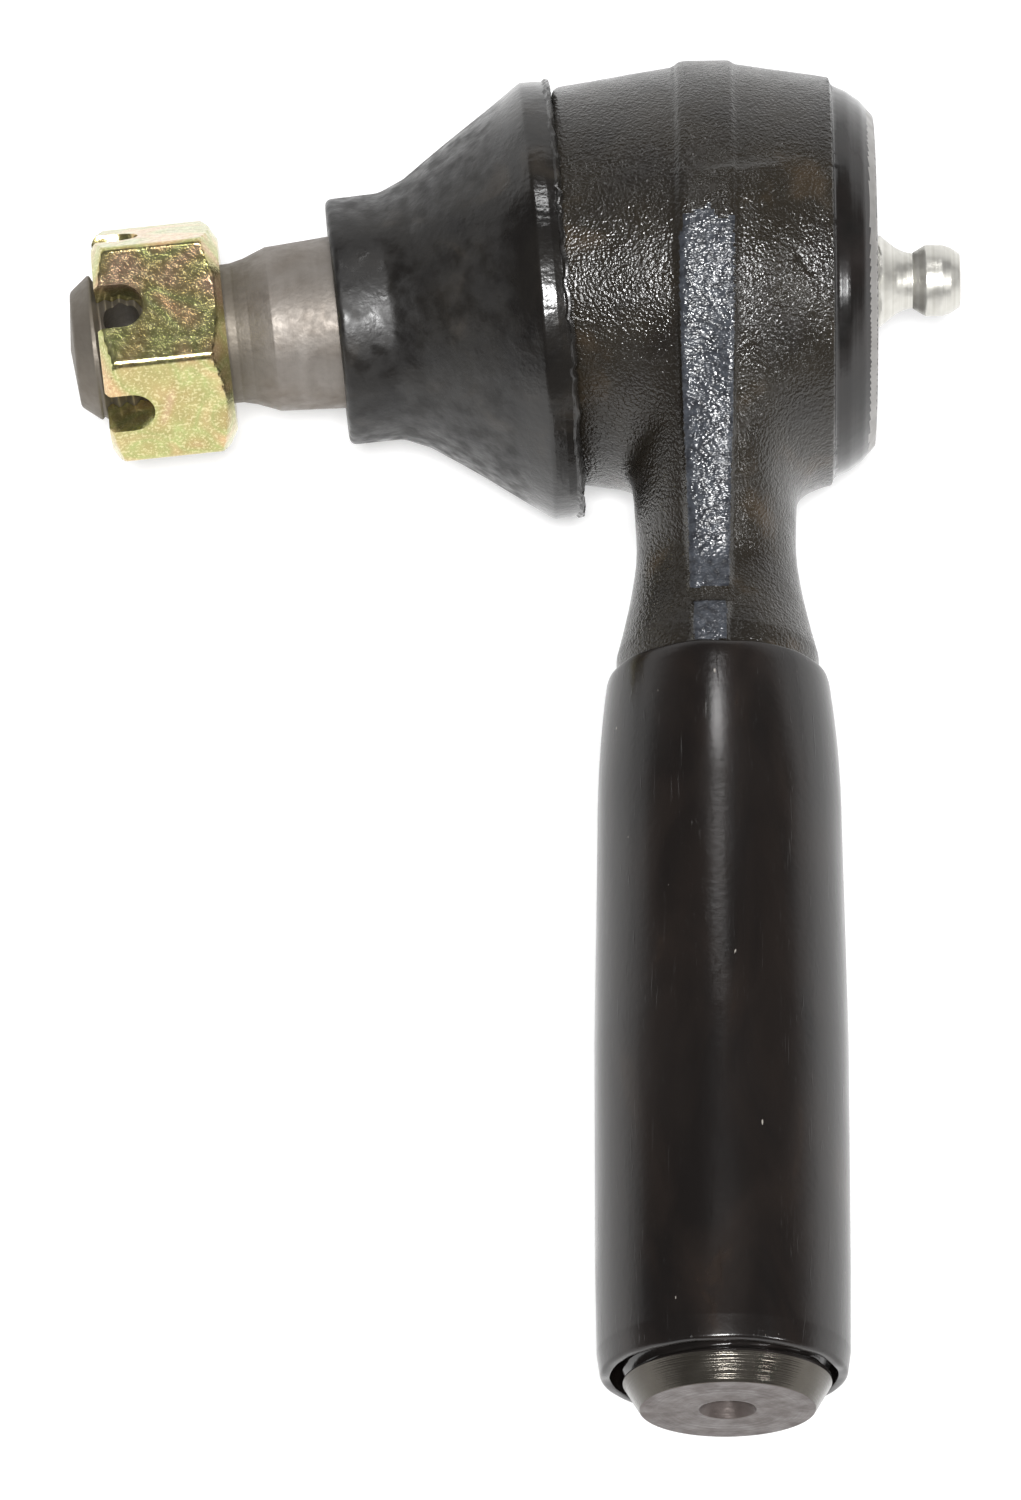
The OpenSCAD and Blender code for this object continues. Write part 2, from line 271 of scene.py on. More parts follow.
def joined(a, b, k):
    """The two fields' solids joined, with a fillet about k across where they meet."""
    t = np.clip(0.5 + 0.5 * (b - a) / k, 0, 1)
    return b + (a - b) * t - k * t * (1 - t)


def shared(a, b, k):
    """What the two fields' solids have in common, with its edge rounded."""
    return -joined(-a, -b, k)


# ---------------------------------------------------------------- materials

def set_range(node, from_low, from_high, to_low, to_high):
    """Fills in a Map Range node's sockets."""
    values = {"From Min": from_low, "From Max": from_high, "To Min": to_low, "To Max": to_high}
    for name, value in values.items():
        node.inputs[name].default_value = value


class Look:
    """A procedural material: its shader and the few nodes it is built from."""

    def __init__(self, name, colour, roughness, metallic=0.0, specular=0.5):
        self.material = bpy.data.materials.new(name)
        self.material.use_nodes = True
        self.nodes, self.links = self.material.node_tree.nodes, self.material.node_tree.links
        self.shader = self.nodes["Principled BSDF"]
        self.set("Base Color", (*colour, 1))
        self.set("Roughness", roughness)
        self.set("Metallic", metallic)
        self.set("Specular IOR Level", specular)
        self.material.diffuse_color = (*colour, 1)

    def set(self, socket, value):
        self.shader.inputs[socket].default_value = value

    def node(self, kind, **settings):
        node = self.nodes.new(kind)
        for key, value in settings.items():
            setattr(node, key, value)
        return node

    def place(self, stretch=(1, 1, 1)):
        """The object's own coordinates, with each axis's pattern drawn out by stretch."""
        where = self.node("ShaderNodeTexCoord").outputs["Object"]
        scale = self.node("ShaderNodeVectorMath", operation="DIVIDE")
        self.links.new(where, scale.inputs[0])
        scale.inputs[1].default_value = stretch
        return scale.outputs[0]

    def noise(self, size, detail=2.0, stretch=(1, 1, 1), roughness=0.5, distortion=0.0):
        """Noise with lumps about size mm across."""
        noise = self.node("ShaderNodeTexNoise")
        self.links.new(self.place(stretch), noise.inputs["Vector"])
        noise.inputs["Scale"].default_value = 1 / (size * MM)
        noise.inputs["Detail"].default_value = detail
        noise.inputs["Roughness"].default_value = roughness
        noise.inputs["Distortion"].default_value = distortion
        return noise.outputs["Fac"]

    def along(self, axis, radial=False):
        """Distance in metres along an axis through the origin, or away from it if radial."""
        kind = "CROSS_PRODUCT" if radial else "DOT_PRODUCT"
        product = self.node("ShaderNodeVectorMath", operation=kind)
        self.links.new(self.place(), product.inputs[0])
        product.inputs[1].default_value = axis
        if not radial:
            return product.outputs["Value"]
        length = self.node("ShaderNodeVectorMath", operation="LENGTH")
        self.links.new(product.outputs[0], length.inputs[0])
        return length.outputs["Value"]

    def rings(self, axis, size, radial=False):
        """Fine lines like lathe marks: across an axis through the origin, or round it if radial."""
        noise = self.node("ShaderNodeTexNoise", noise_dimensions="1D")
        self.links.new(self.along(axis, radial), noise.inputs["W"])
        noise.inputs["Scale"].default_value = 1 / (size * MM)
        noise.inputs["Detail"].default_value = 3
        return noise.outputs["Fac"]

    def between(self, value, low, high, from_low=0.35, from_high=0.65):
        """A value spread from low to high."""
        spread = self.node("ShaderNodeMapRange")
        self.links.new(value, spread.inputs["Value"])
        set_range(spread, from_low, from_high, low, high)
        return spread.outputs["Result"]

    def colours(self, value, *stops):
        """A ramp of (place, colour) stops over a value."""
        ramp = self.node("ShaderNodeValToRGB")
        self.links.new(value, ramp.inputs["Fac"])
        elements = ramp.color_ramp.elements
        while len(elements) < len(stops):
            elements.new(0.5)
        for element, (place, colour) in zip(elements, stops):
            element.position = place
            element.color = (*colour, 1)
        return ramp.outputs["Color"]

    def mix(self, value, a, b):
        """Colour a where the value is 0 and b where it is 1. Each is a socket, a colour or a number."""
        mix = self.node("ShaderNodeMix", data_type="RGBA")
        factor, first, second = mix.inputs[0], mix.inputs[6], mix.inputs[7]
        for socket, given in ((factor, value), (first, a), (second, b)):
            if isinstance(given, bpy.types.NodeSocket):
                self.links.new(given, socket)
            else:
                socket.default_value = given if isinstance(given, float) else (*given, 1)
        return mix.outputs[2]

    def paint(self, value):
        self.links.new(value, self.shader.inputs["Base Color"])

    def rough(self, value):
        self.links.new(value, self.shader.inputs["Roughness"])

    def bump(self, *layers):
        """Bumps from (height, depth in mm) layers, laid one on another."""
        normal = None
        for height, depth in layers:
            bump = self.node("ShaderNodeBump")
            bump.inputs["Distance"].default_value = depth * MM
            self.links.new(height, bump.inputs["Height"])
            if normal is not None:
                self.links.new(normal, bump.inputs["Normal"])
            normal = bump.outputs["Normal"]
        self.links.new(normal, self.shader.inputs["Normal"])


def forged_paint():
    look = Look("forged_paint", (0.018, 0.015, 0.012), 0.25)
    film = look.noise(7, 3)
    # Random patches run from darker to brownish.
    dark, usual, brownish = (0.013, 0.011, 0.009), (0.020, 0.0165, 0.012), (0.045, 0.031, 0.018)
    look.paint(look.colours(film, (0.3, dark), (0.6, usual), (0.75, brownish)))
    look.rough(look.between(look.noise(2.5, 2), 0.18, 0.28))
    look.bump((look.noise(0.26, 1), 0.105), (look.noise(0.6, 1), 0.05))
    return look.material


def smooth_paint():
    look = Look("smooth_paint", (0.010, 0.009, 0.009), 0.2)
    look.paint(look.colours(look.noise(4, 2), (0.3, (0.008, 0.0075, 0.007)), (0.7, (0.016, 0.013, 0.012))))
    look.rough(look.between(look.noise(3, 3), 0.12, 0.26))
    look.bump((look.rings((1, 0, 0), 0.4), 0.012), (look.noise(1.8, 2), 0.03))
    return look.material


def flash_land():
    look = Look("flash_land", (0.04, 0.042, 0.048), 0.22)
    look.paint(look.colours(look.noise(0.7, 2), (0.3, (0.020, 0.021, 0.025)), (0.75, (0.062, 0.068, 0.080))))
    look.rough(look.between(look.noise(1.2, 2), 0.14, 0.27))
    waves = look.noise(0.25, 1, stretch=(1.7, 1, 1))
    look.bump((waves, 0.13), (look.noise(0.8, 1, stretch=(1.6, 1, 1)), 0.10))
    return look.material


def bare_face():
    look = Look("bare_face", (0.12, 0.10, 0.09), 0.42, metallic=0.5)
    look.paint(look.mix(look.noise(2.2, 4), (0.062, 0.048, 0.044), (0.112, 0.093, 0.086)))
    look.rough(look.between(look.noise(1.5, 3), 0.34, 0.55))
    look.bump((look.rings((0, 1, 0), 0.35, radial=True), 0.03), (look.noise(0.5, 2), 0.03))
    return look.material


def oiled_chamfer():
    look = Look("oiled_chamfer", (0.09, 0.085, 0.07), 0.2, metallic=0.75)
    look.paint(look.mix(look.noise(3, 3), (0.055, 0.048, 0.039), (0.105, 0.096, 0.082)))
    look.rough(look.between(look.noise(2.5, 2), 0.16, 0.26))
    look.bump((look.rings((0, 1, 0), 0.1), 0.03), (look.noise(1.2, 2), 0.02))
    return look.material


def machined_bore():
    look = Look("machined_bore", (0.3, 0.29, 0.28), 0.35, metallic=0.9)
    look.rough(look.between(look.noise(1.5, 2), 0.28, 0.45))
    look.bump((look.rings((1, 0, 0), 0.3), 0.01))
    return look.material


def boot_rubber():
    look = Look("boot_rubber", (0.012, 0.011, 0.010), 0.42)
    dust = look.noise(5, 4, distortion=0.6)
    dark, usual, dusty = (0.008, 0.007, 0.0065), (0.013, 0.0115, 0.010), (0.030, 0.025, 0.020)
    look.paint(look.colours(dust, (0.35, dark), (0.62, usual), (0.78, dusty)))
    rim = look.between(look.along(tuple(STUD[:, 2]), radial=True), 0.0, 1.0, 16.9 * MM, 18.2 * MM)
    worn = look.mix(look.between(look.noise(1.6, 4), 0.0, 1.0), (0.30, 0.30, 0.30), (0.58, 0.58, 0.58))
    look.rough(look.mix(rim, worn, (0.20, 0.20, 0.20)))
    look.bump((look.noise(2.4, 2), 0.07), (look.noise(0.5, 2), 0.03))
    return look.material


def guard_vinyl():
    look = Look("guard_vinyl", (0.011, 0.009, 0.008), 0.3, specular=0.45)
    film = look.noise(6, 4, stretch=(1, 2.5, 1), distortion=0.8)
    dark, usual, dusty = (0.008, 0.0065, 0.006), (0.014, 0.0105, 0.009), (0.028, 0.018, 0.012)
    tone = look.colours(film, (0.35, dark), (0.62, usual), (0.8, dusty))
    lint = look.between(look.noise(0.6, 0, stretch=(0.6, 1.8, 0.6)), 0.0, 1.0, 0.885, 0.91)
    look.paint(look.mix(lint, tone, (0.30, 0.28, 0.25)))
    look.rough(look.between(look.noise(4, 3, stretch=(1, 4, 1)), 0.18, 0.27))
    scratches = look.between(look.noise(0.8, 3, stretch=(0.5, 6, 0.5), distortion=1.2), 0, 1, 0.64, 0.76)
    look.bump((look.noise(5, 2, stretch=(1, 3, 1)), 0.05), (scratches, 0.012), (look.noise(0.5, 2), 0.010))
    return look.material


def yellow_zinc(name="yellow_zinc", worn=False):
    look = Look(name, (0.6, 0.5, 0.26), 0.2, metallic=0.9)
    gold, pink, lime, peach = (0.50, 0.40, 0.18), (0.66, 0.45, 0.30), (0.44, 0.47, 0.19), (0.68, 0.46, 0.25)
    film = look.noise(6.5, 1, distortion=1.0)
    tint = look.colours(film, (0.32, pink), (0.43, gold), (0.55, lime), (0.68, peach))
    # Bevelled edges are coloured near white: partly wear, partly a painted highlight.
    if worn:
        tint = look.mix(0.75, tint, (0.98, 0.96, 0.90))
    stain = look.between(look.noise(1.3, 4), 0.0, 0.35)
    # Pale yellow specks mixed into the colour are painted glints.
    painted_glints = look.between(look.noise(0.24, 1), 0.0, 0.45, 0.52, 0.66)
    look.paint(look.mix(painted_glints, look.mix(stain, tint, (0.30, 0.22, 0.09)), (0.88, 0.80, 0.48)))
    look.rough(look.between(look.noise(0.7, 3), 0.13, 0.26))
    look.bump((look.noise(0.22, 1), 0.005 if worn else 0.013), (look.noise(2.5, 2), 0.02))
    return look.material


def stud_steel():
    look = Look("stud_steel", (0.24, 0.215, 0.19), 0.55, metallic=0.7)
    axis = tuple(STUD[:, 2])
    film = look.noise(3.2, 3, distortion=0.3)
    dark, usual, pale = (0.20, 0.172, 0.145), (0.25, 0.225, 0.20), (0.29, 0.265, 0.24)
    tone = look.colours(film, (0.30, dark), (0.5, usual), (0.70, pale))
    past_taper = look.between(look.along(axis), 0.0, 0.8, TAPER_END * MM, (TAPER_END + 3) * MM)
    tone = look.mix(past_taper, tone, (0.155, 0.135, 0.108))
    look.paint(look.mix(look.between(look.rings(axis, 0.7), 0, 0.12), tone, (0.16, 0.14, 0.12)))
    look.rough(look.between(look.noise(0.8, 3), 0.50, 0.64))
    look.bump((look.rings(axis, 0.16), 0.006), (look.noise(0.4, 2), 0.03))
    return look.material


def bright_zinc():
    look = Look("bright_zinc", (0.72, 0.71, 0.66), 0.38, metallic=0.8)
    look.paint(look.mix(look.rings((1, 0, 0), 0.35), (0.48, 0.465, 0.415), (0.72, 0.71, 0.67)))
    look.rough(look.between(look.noise(0.8, 3), 0.32, 0.46))
    look.bump((look.rings((1, 0, 0), 0.2), 0.012), (look.noise(0.3, 2), 0.008))
    return look.material


def hidden_steel(name, colour, roughness):
    """Steel for what is inside the socket and for the end plate."""
    look = Look(name, colour, roughness, metallic=1.0)
    dull, bright = (tuple(k * c for c in colour) for k in (0.8, 1.15))
    look.paint(look.mix(look.noise(2.5, 3), dull, bright))
    look.rough(look.between(look.noise(1.2, 3), roughness - 0.06, roughness + 0.1))
    look.bump((look.rings((1, 0, 0), 0.25), 0.006))
    return look.material


def nylon():
    look = Look("nylon", (0.78, 0.75, 0.66), 0.45)
    look.paint(look.mix(look.noise(3, 2), (0.72, 0.69, 0.6), (0.84, 0.81, 0.72)))
    look.rough(look.between(look.noise(1.5, 2), 0.38, 0.55))
    look.bump((look.noise(0.6, 2), 0.01))
    return look.material


# ---------------------------------------------------------------- making pieces

BODY_OF = {n: body for body, nodes in RECORD["behaviour"]["bodies"].items() for n in nodes}


def make_mesh(name, points, faces, materials, regions=None):
    """A mesh object from points in mm, with the points that coincide on an axis joined into one."""
    mesh = bpy.data.meshes.new(name)
    mesh.from_pydata((np.asarray(points) * MM).tolist(), [], np.asarray(faces).tolist())
    for material in materials:
        mesh.materials.append(material)
    if regions is not None:
        mesh.polygons.foreach_set("material_index", np.asarray(regions, np.int32))
    work = bmesh.new()
    work.from_mesh(mesh)
    bmesh.ops.remove_doubles(work, verts=work.verts, dist=1e-7)
    bmesh.ops.dissolve_degenerate(work, edges=work.edges, dist=1e-8)
    work.to_mesh(mesh)
    work.free()
    obj = bpy.data.objects.new(name, mesh)
    bpy.context.scene.collection.objects.link(obj)
    return obj


def apply_modifiers(obj):
    """Leaves the object with the mesh that its modifiers make."""
    bpy.context.view_layer.update()
    evaluated = obj.evaluated_get(bpy.context.evaluated_depsgraph_get())
    mesh = bpy.data.meshes.new_from_object(evaluated)
    obj.modifiers.clear()
    old, obj.data = obj.data, mesh
    bpy.data.meshes.remove(old)


def combine(obj, tool, operation):
    """Cuts the tool out of obj, or adds it, and removes the tool."""
    modifier = obj.modifiers.new(operation.lower(), "BOOLEAN")
    modifier.operation, modifier.object, modifier.solver = operation, tool, "MANIFOLD"
    apply_modifiers(obj)
    bpy.data.objects.remove(tool)


def bevel(obj, width, material):
    """Rounds every edge sharper than 30 degrees, in the material with that number."""
    modifier = obj.modifiers.new("bevel", "BEVEL")
    modifier.width, modifier.segments = width * MM, 2
    modifier.limit_method, modifier.angle_limit = "ANGLE", math.radians(30)
    modifier.material = material
    apply_modifiers(obj)


def stand_for(obj, node, sharp=40, ride=True):
    """Shades the piece and puts it in a CAD node's place, on that node's body."""
    obj.data.polygons.foreach_set("use_smooth", [True] * len(obj.data.polygons))
    obj.data.set_sharp_from_angle(angle=math.radians(sharp))
    if ride:
        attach(obj, BODY_OF[node])
    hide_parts(node)
    return obj


# ---------------------------------------------------------------- housing

# The housing's materials, by number
FORGED, SMOOTH, LAND, BORE, FACE, CHAMFER = range(6)

LIP_START = 10.3
BARREL_R = FLASH_R - 0.35
LAND_H, LAND_X, LAND_BEND, LAND_END = 0.36, -0.65, 12.0, GUARD_TOP - 0.06
WEB_TOP, WEB_FOOT, WEB_FOOT_R = 18.6, 27.0, 7.8
# Half of the web's width at distances along the shank
WEB_AT = (0, 10, 12.7, 15.2, 18.1, 21, 24, 27, 30)
WEB_HALF = (11.0, 10.6, 9.9, 8.8, 7.5, 7.0, 6.7, 6.3, 5.6)
NECK_END = GUARD_TOP + 1.1
THREAD_START, CHAMFER_L, CHAMFER_R = 45.0, 2.3, 1.38
RELIEF_R, CENTRE_R = 7.7, 1.2
# Both ends of a short scratch on the barrel, and how deep it may go
NICK, NICK_DEPTH = ((6.7, -5.4), (8.6, -7.7)), 0.16


def neck_radius(l):
    return NECK_MIN_R + (SHANK_R - NECK_MIN_R) * np.clip((l - 25) / (SHOULDER - 25), 0, 1) ** 1.6


def web_field(x, l, z):
    """The web is a ridge with an oval section that falls from the barrel to the neck."""
    wide = np.interp(l, WEB_AT, WEB_HALF)
    drop = math.asin((WEB_TOP - WEB_FOOT_R) / WEB_FOOT)
    touch = WEB_TOP * math.sin(drop)
    round_top = np.sqrt(np.maximum(WEB_TOP ** 2 - l ** 2, 1))
    high = np.where(l < touch, round_top, WEB_TOP / math.cos(drop) - l * math.tan(drop))
    high = np.maximum(high, 2)
    k0 = np.hypot(x / wide, z / high)
    k1 = np.hypot(x / wide ** 2, z / high ** 2)
    return np.maximum(k0 * (k0 - 1) / np.maximum(k1, 1e-6), np.maximum(-l, l - 31))


def land_half(l):
    return 2.45 - 0.65 * smoothstep(8, 34, l) - 0.28 * smoothstep(33.5, 34.5, l)


def nick_field(x, y, z):
    """A short scratch across the barrel's skin."""
    (ax, ay), (bx, by) = NICK
    t = np.clip(((x - ax) * (bx - ax) + (y - ay) * (by - ay)) / ((bx - ax) ** 2 + (by - ay) ** 2), 0, 1)
    away = np.hypot(x - ax - t * (bx - ax), y - ay - t * (by - ay))
    deep = 0.22 * np.sin(math.pi * (0.08 + 0.84 * t))
    return np.where(z > 0, deep - away, -1.0)


def forging_field(points):
    """Distance from the forging's skin: barrel, web, neck and flash land, less the machined socket."""
    x, y, z = points.T
    l = -y
    from_socket_axis = np.hypot(y, z)
    barrel = outline_distance(from_socket_axis, x, BARREL_OUTLINE)
    neck = shared(np.hypot(x, z) - neck_radius(l), l - NECK_END, 0.2)
    neck = np.maximum(neck, 8 - l)
    arm = joined(neck, web_field(x, l, z), 0.8)
    body = joined(barrel, arm, 1.5 + 2.2 * smoothstep(-2, 5, x))
    # The flash land runs round the parting plane and stops short of the guard.
    step = smoothstep(32.7, 33.0, l) * (1 - smoothstep(34.2, 34.6, l))
    edge = 0.10 * grain(points * (0, 1, 0), 0.9, 11)
    across = np.abs(x - LAND_X) - land_half(l) - edge * smoothstep(0, 6, l)
    level = (x - LAND_X) ** 2 / LAND_BEND * smoothstep(8, 16, l)
    land = shared(body - (LAND_H + level) * (1 - 0.9 * step), across, 0.5)
    land = shared(land, l - LAND_END, 0.1)
    body = joined(body, land, 0.5)
    body = np.maximum(body, np.minimum(nick_field(x, y, z), body + NICK_DEPTH))
    return np.maximum(body, -outline_distance(from_socket_axis, x, CAVITY_OUTLINE))


BARREL_OUTLINE = rounded([
    (-5, -BARREL_FRONT, 0), (17.3, -BARREL_FRONT, 1.1), (BARREL_R, -2.2, 1), (BARREL_R, 2.2, 1),
    (17.95, LIP_START, 0.12), (17.3, LIP_START + 0.2, 0.15), (16.75, LIP_START + 1.5, 1.2),
    (15.9, LIP_START + 2.7, 1.2), (14.55, LIP_END - 0.05, 0.15), (13.6, LIP_END, 0), (-5, LIP_END, 0)
], step=60)
CAVITY_OUTLINE = np.array([
    (-5, -BARREL_FRONT - 2), (THROAT_OUT_R, -BARREL_FRONT - 2), (THROAT_OUT_R, -BARREL_FRONT),
    (THROAT_R, BEARING_STOP), (BORE_R, BEARING_STOP), (BORE_R, PLATE_IN), (PLATE_SEAT_R, PLATE_IN),
    (PLATE_SEAT_R, PLATE_OUT + 0.05), (LIP_OPEN_R, PLATE_OUT + 0.05), (LIP_OPEN_R, LIP_END + 2),
    (-5, LIP_END + 2)
])


def forging_skin(cell):
    """The forging's skin with the unevenness that the dies leave."""
    low = (-BARREL_FRONT - 1, -NECK_END - 1, -FLASH_R - 1)
    high = (LIP_END + 1, FLASH_R + 1, FLASH_R + 1)
    points, faces = skin(forging_field, low, high, cell)
    x, y, z = points.T
    step = 0.05
    slope = np.stack([forging_field(points + d) - forging_field(points - d) for d in np.eye(3) * step], -1)
    slope /= np.maximum(np.linalg.norm(slope, axis=1, keepdims=True), 1e-6)
    outside = (np.hypot(y, z) > 15.4) | (-y > 15.4)
    forged = outside * (1 - smoothstep(LIP_START - 0.3, LIP_START, x)) * (1 - smoothstep(37.5, 38.2, -y))
    lumps = 0.05 * grain(points, 5.0, 1) + 0.012 * grain(points, 1.6, 2)
    on_land = (np.abs(x - LAND_X) < land_half(-y) - 0.4) & (y < -1)
    lumps = np.where(on_land, lumps + 0.03 * grain(points * (0.45, 1, 1), 0.85, 4), lumps)
    return points + slope * (forged * lumps)[:, None], faces


def housing_regions(centres):
    """Which of the housing's materials each face takes."""
    x, y, z = centres.T
    l = -y
    r = np.hypot(y, z)
    from_shank_axis = np.hypot(x, z)
    region = np.full(len(centres), FORGED)
    region[(x > LIP_START + 0.05) & (r > LIP_OPEN_R - 0.5)] = SMOOTH
    land = np.abs(x - LAND_X) < land_half(l) - 0.1
    land &= (l > 3.0 + 2.2 * grain(centres, 1.3, 14)) & (l < LAND_END - 0.05) & ~((l > 32.95) & (l < 34.4))
    land &= (from_shank_axis > 6.5) | (r > 18.8)
    region[land] = LAND
    inside = (r < 15.3) & (l < 15.3) & (x > -BARREL_FRONT + 0.02) & (x < LIP_END - 0.1)
    region[inside] = BORE
    region[l > NECK_END + 0.05] = SMOOTH
    region[(l > SHANK_END - CHAMFER_L - 0.02) & (from_shank_axis > 4)] = CHAMFER
    region[(l > SHANK_END - 0.02) | ((l > 98) & (from_shank_axis < 2.6))] = FACE
    return region


def shank_rod():
    """The machined end of the shank: thread relief, thread, chamfer and lathe centre."""
    fine = SHANK_PITCH / 14
    head = rounded([
        (0, 36.5, 0), (7.6, 36.5, 0), (7.6, 38.4, 0), (SHANK_R - 0.03, 39.0, 0.2),
        (SHANK_R - 0.03, 42.5, 0.1), (RELIEF_R, 43.3, 0.3), (RELIEF_R, 44.2, 0.3), (SHANK_R, THREAD_START, 0)
    ], closed=False, step=0.6)
    rings = np.linspace(THREAD_START + fine, SHANK_END - CHAMFER_L, 600)
    body = np.stack([np.full(len(rings), SHANK_R), rings], -1)
    tail = rounded([
        (SHANK_R - 0.02, SHANK_END - CHAMFER_L + 0.02, 0), (SHANK_R - CHAMFER_R, SHANK_END, 0.18),
        (2.42, SHANK_END, 0.08), (CENTRE_R, SHANK_END - 2.1, 0), (CENTRE_R, SHANK_END - 4.8, 0),
        (0, SHANK_END - 5.4, 0)
    ], closed=False, step=0.3)
    points, faces = turned(np.concatenate([head, body, tail]), around=120, closed=False)
    thread_end, depth = SHANK_END - CHAMFER_L - 0.1, THREAD_DEPTH + SHANK_DEEPER
    points = thread(points, THREAD_START, thread_end, SHANK_PITCH, depth)
    return points @ SHANK.T, faces


def housing():
    """The forging with the machined shank joined on, and a material for each of its surfaces."""
    looks = [forged_paint(), smooth_paint(), flash_land(), machined_bore(), bare_face(), oiled_chamfer()]
    points, faces = forging_skin(0.3)
    obj = make_mesh("housing_forging", points, faces, looks)
    rod = make_mesh("shank_tool", *shank_rod(), looks)
    combine(obj, rod, "UNION")
    centres = np.zeros(len(obj.data.polygons) * 3)
    obj.data.polygons.foreach_get("center", centres)
    regions = housing_regions(centres.reshape(-1, 3) / MM)
    obj.data.polygons.foreach_set("material_index", regions.astype(np.int32))
    return stand_for(obj, "housing", sharp=38)


# ---------------------------------------------------------------- stud and nut

TAPER_START, TAPER_END, TAPER_R, TAPER_SMALL_R = 32.0, 39.0, 7.68, 7.2425
THREAD_FROM = 43.2
COTTER_R = 1.6
HEAD_DEPTH, JOURNAL_R, HALF_BALL_TOP = 6.5, 7.6, 8.0
STUD_NECK_R, STUD_NECK_START, STUD_NECK_END = 6.2, 9.2, 20
# Length of the domed and chamfered tip past the thread
TIP_L = 2.1


def ball_stud():
    """The ball head, journal, neck, taper and threaded tip, with the cotter hole drilled through."""
    angles = np.linspace(-math.asin(HEAD_DEPTH / BALL_R), 0, 24)
    ball = [(BALL_R * math.cos(a), BALL_R * math.sin(a)) for a in angles]
    stem = rounded([
        (BALL_R, 0, 0), (JOURNAL_R, 0, 0.1), (JOURNAL_R, HALF_BALL_TOP, 0.3), (6.9, 8.35, 0.2),
        (STUD_NECK_R, STUD_NECK_START, 0.8), (STUD_NECK_R, STUD_NECK_END, 6), (TAPER_R, 27.8, 2),
        (TAPER_R, TAPER_START, 3), (TAPER_SMALL_R, TAPER_END, 0.5), (6.45, TAPER_END + 2.0, 1.2),
        (6.15, TAPER_END + 3.2, 0.6), (6.12, THREAD_FROM, 0.1), (STUD_THREAD_R, THREAD_FROM + 0.4, 0)
    ], closed=False, step=0.5)
    top = STUD_TIP - TIP_L
    rings = np.linspace(THREAD_FROM + 0.5, top, 170)
    body = np.stack([np.full(len(rings), STUD_THREAD_R), rings], -1)
    tip = rounded([
        (STUD_THREAD_R - 0.02, top + 0.05, 0.4), (5.05, STUD_TIP - 0.45, 0.7), (0, STUD_TIP, 0)
    ], closed=False, step=0.3)
    outline = np.concatenate([[(0, ball[0][1])], ball, stem[1:], body, tip])
    points, faces = turned(outline, around=128, closed=False)
    points = thread(points, THREAD_FROM + 0.5, STUD_TIP - 2.2, STUD_PITCH, THREAD_DEPTH)
    obj = make_mesh("stud_body", points @ STUD.T, faces, [stud_steel()])
    hole = rounded([(0, -9, 0), (COTTER_R, -9, 0), (COTTER_R, 9, 0), (0, 9, 0)], closed=False, step=20)
    drill, sides = turned(hole, around=40, closed=False)
    drill = drill @ axes(NUT[:, 0], STUD[:, 2]).T + STUD[:, 2] * (NUT_END - SLOT_DEPTH / 2)
    combine(obj, make_mesh("cotter_drill", drill, sides, []), "DIFFERENCE")
    return stand_for(obj, "ball_stud", sharp=35)


def slot_tool(angle):
    """A long U-shaped bar that cuts one pair of the nut's slots."""
    angles = np.linspace(math.pi, 2 * math.pi, 17)
    bend = [(math.cos(a) * SLOT_W / 2, math.sin(a) * SLOT_W / 2) for a in angles]
    outline = [(-SLOT_W / 2, 6), *bend, (SLOT_W / 2, 6)]
    bottom = NUT_END - SLOT_DEPTH + SLOT_W / 2
    ends = [[(side, y, bottom + h) for y, h in outline] for side in (-20, 20)]
    n = len(outline)
    faces = [[i, (i + 1) % n, n + (i + 1) % n, n + i] for i in range(n)]
    turn = np.array(Matrix.Rotation(angle, 3, "Z"))
    points = np.array(ends[0] + ends[1]) @ turn.T @ NUT.T
    mesh = bpy.data.meshes.new("slot_tool")
    mesh.from_pydata((points * MM).tolist(), [], [*faces, list(range(n))[::-1], list(range(n, 2 * n))])
    work = bmesh.new()
    work.from_mesh(mesh)
    bmesh.ops.recalc_face_normals(work, faces=work.faces)
    work.to_mesh(mesh)
    work.free()
    tool = bpy.data.objects.new("slot_tool", mesh)
    bpy.context.scene.collection.objects.link(tool)
    return tool


def slotted_nut():
    """A hexagon nut with three pairs of slots, rounded edges coloured near white for wear and as a painted
    highlight, and a tapped hole.
    """
    flats = NUT_CORNER * math.sqrt(3)
    outside = rounded([
        (0, NUT_START, 0), (NUT_CORNER - 2.6, NUT_START, 0.3), (NUT_CORNER + 0.1, NUT_START + 1.56, 0),
        (NUT_CORNER + 0.1, NUT_END - 1.16, 0), (NUT_CORNER - 1.9, NUT_END, 0.3), (0, NUT_END, 0)
    ], closed=False, step=0.5)
    points, faces = turned(outside, around=480, closed=False)
    looks = [yellow_zinc(), yellow_zinc("worn_and_highlit_zinc", worn=True)]
    obj = make_mesh("nut_body", to_hexagon(points, flats, 0.9) @ NUT.T, faces, looks)
    for angle in (0, math.pi / 3, 2 * math.pi / 3):
        combine(obj, slot_tool(angle), "DIFFERENCE")
    # The bevels take the second material, whose near-white colour is partly a painted highlight.
    bevel(obj, 0.2, material=1)
    bore_r = STUD_THREAD_R + 0.08
    rings = np.linspace(NUT_START - 1, NUT_END + 1, 150)
    wall = np.stack([np.full(len(rings), bore_r), rings], -1)
    bore = np.concatenate([[(0, rings[0])], wall, [(0, rings[-1])]])
    tool, sides = turned(bore, around=96, closed=False)
    tool = thread(tool, NUT_START - 1, NUT_END + 1, STUD_PITCH, NUT_THREAD_DEPTH)
    combine(obj, make_mesh("nut_tap", tool @ STUD.T, sides, looks), "DIFFERENCE")
    return stand_for(obj, "slotted_nut", sharp=32)


# ---------------------------------------------------------------- boot and guard

# The mouth lies nearer to square with the socket than the rest of the boot does.
MOUTH_LEAN = math.radians(1.4)
